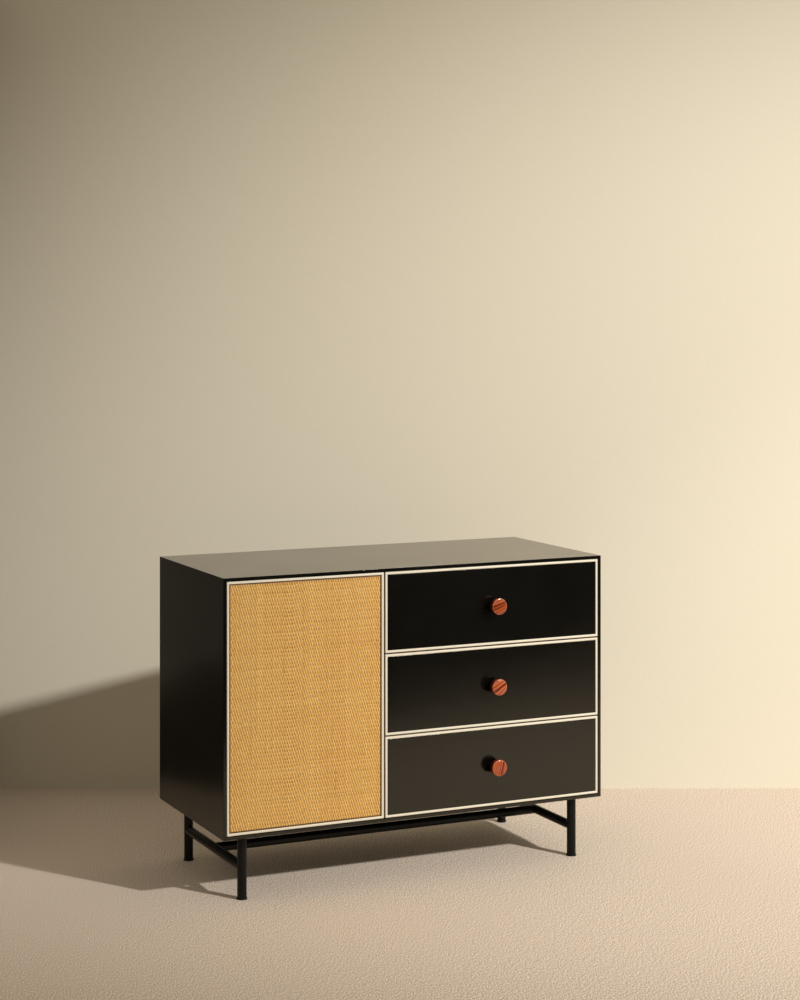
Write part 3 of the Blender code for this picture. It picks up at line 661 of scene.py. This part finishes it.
def tucked(x, z):
    """How far the strands sink into the groove, from 0 to 1, and how much painted shade they get there."""
    inside = np.minimum(np.minimum(x - PANEL_LOW.x, PANEL_HIGH.x - x),
                        np.minimum(z - PANEL_LOW.z, PANEL_HIGH.z - z))
    near = (1 - inside / TUCK_WIDTH).clip(0, 1)
    shade = ((TUCK_CLEAR - inside) / (TUCK_CLEAR - TUCK_SHADE)).clip(0, 1)
    return near * near * (3 - 2 * near), GROOVE_SHADE * shade


def weave_warps(rng):
    """Upright strands, in two halves to keep each mesh small."""
    jitter = uneven(rng, WARPS, *WARP_JITTER) * MM
    places = PANEL_LOW.x + (np.arange(WARPS) + 0.5) * WARP_STEP + jitter
    section = strand_section(WARP_EDGE)
    steps = WEFTS * WARP_STEPS + 1
    z = np.linspace(PANEL_LOW.z, PANEL_HIGH.z, steps)
    over = alternate(WARPS)[:, None]
    slip = uneven(rng, WARPS, *WARP_SLIP) * MM
    turn = np.pi * (z[None, :] - PANEL_LOW.z + slip[:, None]) / WEFT_STEP
    wave = over * sharpen(np.sin(turn))
    slant = -over * WARP_SLANT * np.cos(turn)
    width = WARP_HALF_WIDTH * (1 + WARP_WIDTH_SPREAD * mild(rng.normal(size=WARPS)))
    sway = WARP_SWAY * mild(smooth_lengths(rng, WARPS, steps, reach=6))
    x = places[:, None] + sway + slant
    tuck, shade = tucked(x, z[None, :])

    rings = np.empty((WARPS, steps, len(section), 3))
    depth = WEAVE_MIDDLE + WARP_RISE * wave * (1 - TUCK_FLATTEN * tuck) + TUCK_DEPTH * tuck
    rings[..., 0] = x[..., None] + width[:, None, None] * section[:, 0]
    rings[..., 1] = depth[..., None] + WARP_HALF_THICK * section[:, 1]
    rings[..., 2] = z[None, :, None]

    tone = TONE_MIDDLE + WARP_TONE_SHARED * smooth_random(rng, WARPS, reach=5)
    tone = (tone + WARP_TONE_OWN * rng.normal(size=WARPS))[:, None]
    drift = WARP_TONE_LONG * smooth_lengths(rng, WARPS, steps, reach=30)
    drift += WARP_TONE_SHORT * smooth_lengths(rng, WARPS, steps, reach=2)
    # Paler where the warp turns at a crossing, painted light that lifts the shade there
    tone = (tone + drift + WARP_TURN_LIGHT * (1 - np.abs(wave))).clip(0, 1)
    # Painted shade where the warp passes under a weft and in the groove; the darker strands below are
    # their own colour
    shade_and_dark_strands = np.maximum((wave / WARP_DIP_AT).clip(0, 1), shade)
    for place, low, high in DARK_STRANDS:
        strand = np.abs(places - place).argmin()
        shade_and_dark_strands[strand] = np.maximum(shade_and_dark_strands[strand], DARK_STRAND_DIP * ((z > low) & (z < high)))
    half = WARPS // 2
    for name, part in (("woven_warps_left", slice(0, half)), ("woven_warps_right", slice(half, WARPS))):
        strands(name, rings[part], tone[part][..., None], shade_and_dark_strands[part][..., None])


def weave_wefts(rng):
    """Broad level strands, nearly closed over the panel."""
    section = strand_section(WEFT_EDGE)[::-1]
    steps = WARPS * WEFT_STEPS + 1
    x = np.linspace(PANEL_LOW.x, PANEL_HIGH.x, steps)
    wave = -alternate(WEFTS)[:, None] * np.sin(np.pi * (x - PANEL_LOW.x) / WARP_STEP)[None, :]
    width = WEFT_HALF_WIDTH * (1 + WEFT_WIDTH_SPREAD * mild(rng.normal(size=WEFTS)))
    offset = WEFT_OFFSET * mild(rng.normal(size=WEFTS))
    wander = WEFT_WANDER * mild(smooth_lengths(rng, WEFTS, steps, reach=30))
    places = PANEL_LOW.z + (np.arange(WEFTS) + 0.5) * WEFT_STEP + offset
    z = places[:, None] + wander
    tuck, _ = tucked(x[None, :], z)

    rings = np.empty((WEFTS, steps, len(section), 3))
    depth = WEAVE_MIDDLE - WEFT_RISE * wave * (1 - TUCK_FLATTEN * tuck) + TUCK_DEPTH * tuck
    rings[..., 0] = x[None, :, None]
    rings[..., 1] = depth[..., None] + WEFT_HALF_THICK * section[:, 1]
    rings[..., 2] = z[..., None] + width[:, None, None] * section[:, 0]

    tone = (TONE_MIDDLE + WEFT_TONE_OWN * rng.normal(size=WEFTS))[:, None]
    tone = (tone + WEFT_TONE_LONG * smooth_lengths(rng, WEFTS, steps, reach=25)).clip(0, 1)
    # Painted shade over the whole weft where it lies back between warps, more where it passes under one,
    # on its edges and in the groove
    edge = np.abs(section[:, 0]) > SECTION_RIM
    under = ((WEFT_DIP_FROM - wave) / WEFT_DIP_OVER).clip(WEFT_DIP_LEAST, 1)[..., None]
    _, shade = tucked(rings[..., 0], rings[..., 2])
    shade_and_dark_strands = np.maximum(np.maximum(under, shade), WEFT_DIP_LEAST * edge)
    strands("woven_wefts", rings, tone[..., None], shade_and_dark_strands)


random_source = np.random.default_rng(SEED)
weave_warps(random_source)
weave_wefts(random_source)


def stage_point(right, forward, up=0.0):
    """A place on the stage, from the spot on the floor below the camera."""
    return Vector((CAMERA_PLACE.x, CAMERA_PLACE.y, up)) + CAMERA_RIGHT * right + CAMERA_FORWARD * forward


def floor_corners(margin=0.0):
    """Corners of the lit floor, or of a rectangle that runs past it on every side."""
    left = -FLOOR_LEFT - margin
    right = STAGE_RIGHT + margin
    near = FLOOR_NEAR - margin
    far = FLOOR_FAR + margin
    return [stage_point(*corner) for corner in ((left, near), (right, near), (right, far), (left, far))]


def stage_sheet(name, corners, faces, material):
    """A flat sheet of the stage, which isn't part of the object."""
    mesh = bpy.data.meshes.new(name)
    mesh.from_pydata([tuple(corner) for corner in corners], [], faces)
    sheet = bpy.data.objects.new(name, mesh)
    bpy.context.scene.collection.objects.link(sheet)
    mesh.materials.append(material)
    return sheet


def one_sided(material):
    """Leaves only the front of a backdrop, so that it never hides the object from behind."""
    tree = material.node_tree
    blend = tree.nodes.new("ShaderNodeMixShader")
    back = tree.nodes.new("ShaderNodeNewGeometry").outputs["Backfacing"]
    tree.links.new(back, blend.inputs[0])
    tree.links.new(tree.nodes["Principled BSDF"].outputs[0], blend.inputs[1])
    tree.links.new(tree.nodes.new("ShaderNodeBsdfTransparent").outputs[0], blend.inputs[2])
    tree.links.new(blend.outputs[0], tree.nodes["Material Output"].inputs["Surface"])
    return material


def stage_panel(name, start, end, height, material):
    """A one-sided backdrop that stands on the floor between two places."""
    corners = [stage_point(*place, up) for place, up in
               ((start, 0.0), (end, 0.0), (end, height), (start, height))]
    return stage_sheet(name, corners, [(0, 1, 2, 3)], one_sided(material))


# The floor runs far out past the lit part. That surround is hidden from reflections, which show the dark
# world below the horizon there instead.
carpet = plaster("floor", FLOOR_COLOUR, spread=0.58, scale=(440, 200, 200), depth=0.15 * MM,
                 far=FLOOR_FAR_COLOUR)
lit = floor_corners()
stage_sheet("floor", lit, [(0, 1, 2, 3)], carpet)
border = [(i, (i + 1) % 4, (i + 1) % 4 + 4, i + 4) for i in range(4)]
surround = stage_sheet("floor_surround", floor_corners(SURROUND) + lit, border, carpet)
surround.visible_glossy = False

paint = plaster("wall", WALL_COLOUR, spread=0.01, scale=160.0, depth=0.05 * MM)
stage_panel("wall", (-WALL_LEFT, WALL_DEPTH), (STAGE_RIGHT, WALL_DEPTH), WALL_HEIGHT, paint)

# A dark screen just out of the picture on the left, hidden from the camera in every view
felt = plaster("screen", SCREEN_COLOUR, spread=0.02, scale=160.0, depth=0.05 * MM)
screen = stage_panel("screen", (-WALL_LEFT, SCREEN_NEAR), (-WALL_LEFT, WALL_DEPTH), SCREEN_HEIGHT, felt)
screen.visible_camera = False

# Lamps
for name, (power, colour, target, cone) in LAMPS.items():
    lamp_data = bpy.data.lights.new(name, "SPOT")
    lamp_data.energy = power
    lamp_data.color = colour
    lamp_data.shadow_soft_size = LAMP_RADIUS
    lamp_data.spot_size = cone
    lamp_data.spot_blend = LAMP_BLEND
    lamp = bpy.data.objects.new(name, lamp_data)
    lamp.location = LAMP_PLACE
    lamp.rotation_euler = (target - LAMP_PLACE).to_track_quat("-Z", "Y").to_euler()
    bpy.context.scene.collection.objects.link(lamp)

# World
world = bpy.data.worlds.new("studio")
world.use_nodes = True
bpy.context.scene.world = world
sky = world.node_tree
slope = sky.nodes.new("ShaderNodeSeparateXYZ")
sky.links.new(sky.nodes.new("ShaderNodeTexCoord").outputs["Generated"], slope.inputs[0])


def graded(shader, colour, slopes, low, high):
    """Sets a background's colour, and its strength from low to high between two slopes of direction."""
    rise = sky.nodes.new("ShaderNodeMapRange")
    for socket, value in zip(("From Min", "From Max", "To Min", "To Max"), (*slopes, low, high)):
        rise.inputs[socket].default_value = value
    sky.links.new(slope.outputs["Z"], rise.inputs["Value"])
    sky.links.new(rise.outputs["Result"], shader.inputs["Strength"])
    shader.inputs["Color"].default_value = (*colour, 1.0)
    return shader.outputs[0]


glow = graded(sky.nodes["Background"], WORLD_COLOUR, WORLD_SLOPES, WORLD_LOW, WORLD_HIGH)
seen = graded(sky.nodes.new("ShaderNodeBackground"), BACKGROUND_COLOUR, BACKGROUND_SLOPES,
              WORLD_LOW, BACKGROUND_HIGH)
rays = sky.nodes.new("ShaderNodeLightPath")
shown = rays.outputs["Is Camera Ray"]
for kind in ("Is Glossy Ray", "Is Transmission Ray"):
    either = sky.nodes.new("ShaderNodeMath")
    either.operation = "MAXIMUM"
    sky.links.new(shown, either.inputs[0])
    sky.links.new(rays.outputs[kind], either.inputs[1])
    shown = either.outputs["Value"]
choose = sky.nodes.new("ShaderNodeMixShader")
for socket, source in enumerate((shown, glow, seen)):
    sky.links.new(source, choose.inputs[socket])
sky.links.new(choose.outputs[0], sky.nodes["World Output"].inputs["Surface"])

# Camera
camera_data = bpy.data.cameras.new("camera")
camera_data.lens = CAMERA_LENS
camera_data.sensor_width = CAMERA_SENSOR
camera_data.shift_y = CAMERA_SHIFT
camera = bpy.data.objects.new("camera", camera_data)
camera.location = CAMERA_PLACE
camera.rotation_euler = (math.pi / 2, 0.0, CAMERA_YAW)
bpy.context.scene.collection.objects.link(camera)
bpy.context.scene.camera = camera
bpy.context.scene.view_settings.view_transform = "Standard"
